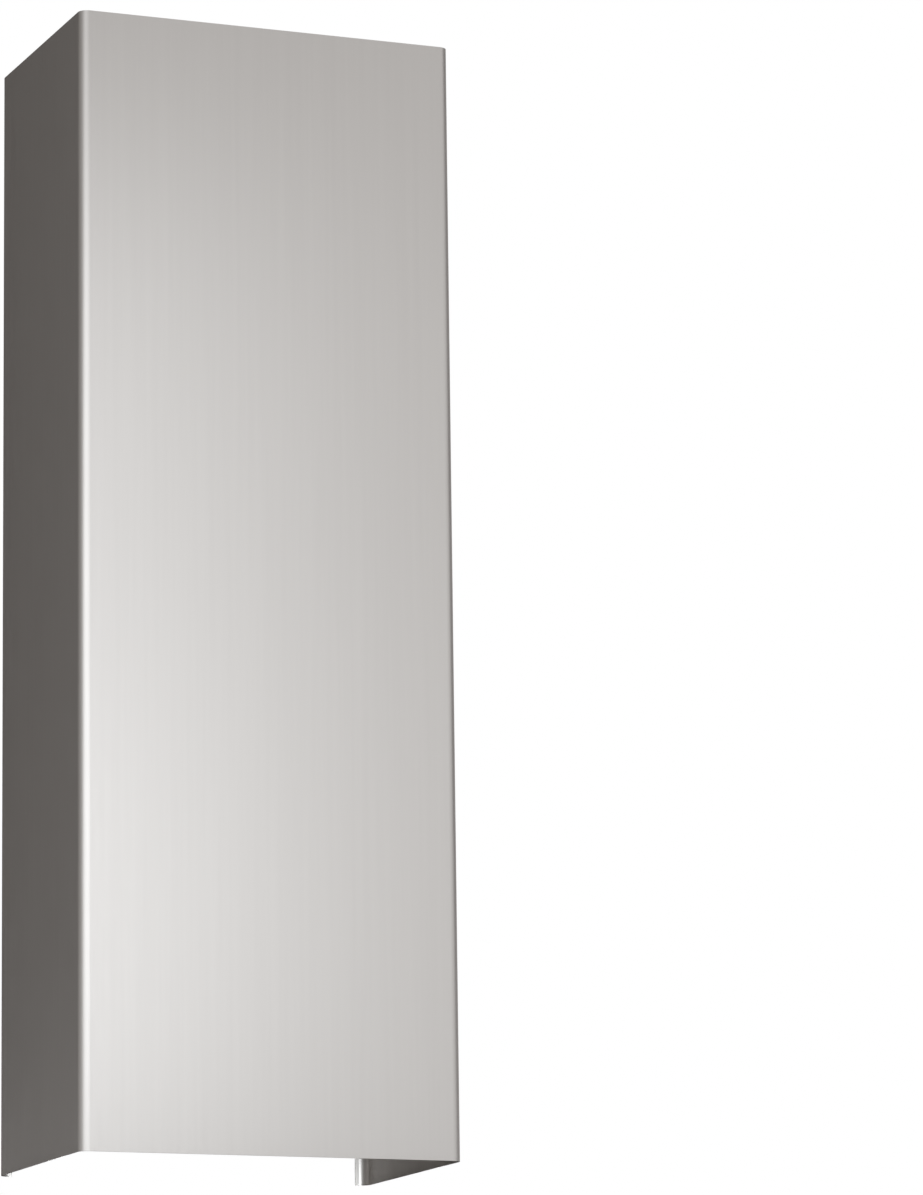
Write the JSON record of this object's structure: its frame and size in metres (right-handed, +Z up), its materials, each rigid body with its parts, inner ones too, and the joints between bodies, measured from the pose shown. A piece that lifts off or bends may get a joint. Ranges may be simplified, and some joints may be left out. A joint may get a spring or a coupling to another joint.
{
  "type": "cooker hood chimney section",
  "caption": "Tall U-shaped cover folded from brushed steel sheet, with narrow inward returns along its wall edges and open ends, that hides the duct above a cooker hood.",
  "frame": {"origin": "middle of the lower end, on the plane that the section stands on", "axes": "+Z up along the section, +Y from the front face towards the wall, +X across the front"},
  "size_m": [0.347, 0.23, 1],
  "materials": {
    "steel_sheet": "fine vertical brushing on the outside, plain rolled finish inside"
  },
  "bodies": {
    "root": {"chimney_section": "steel_sheet"}
  },
  "joints": []
}
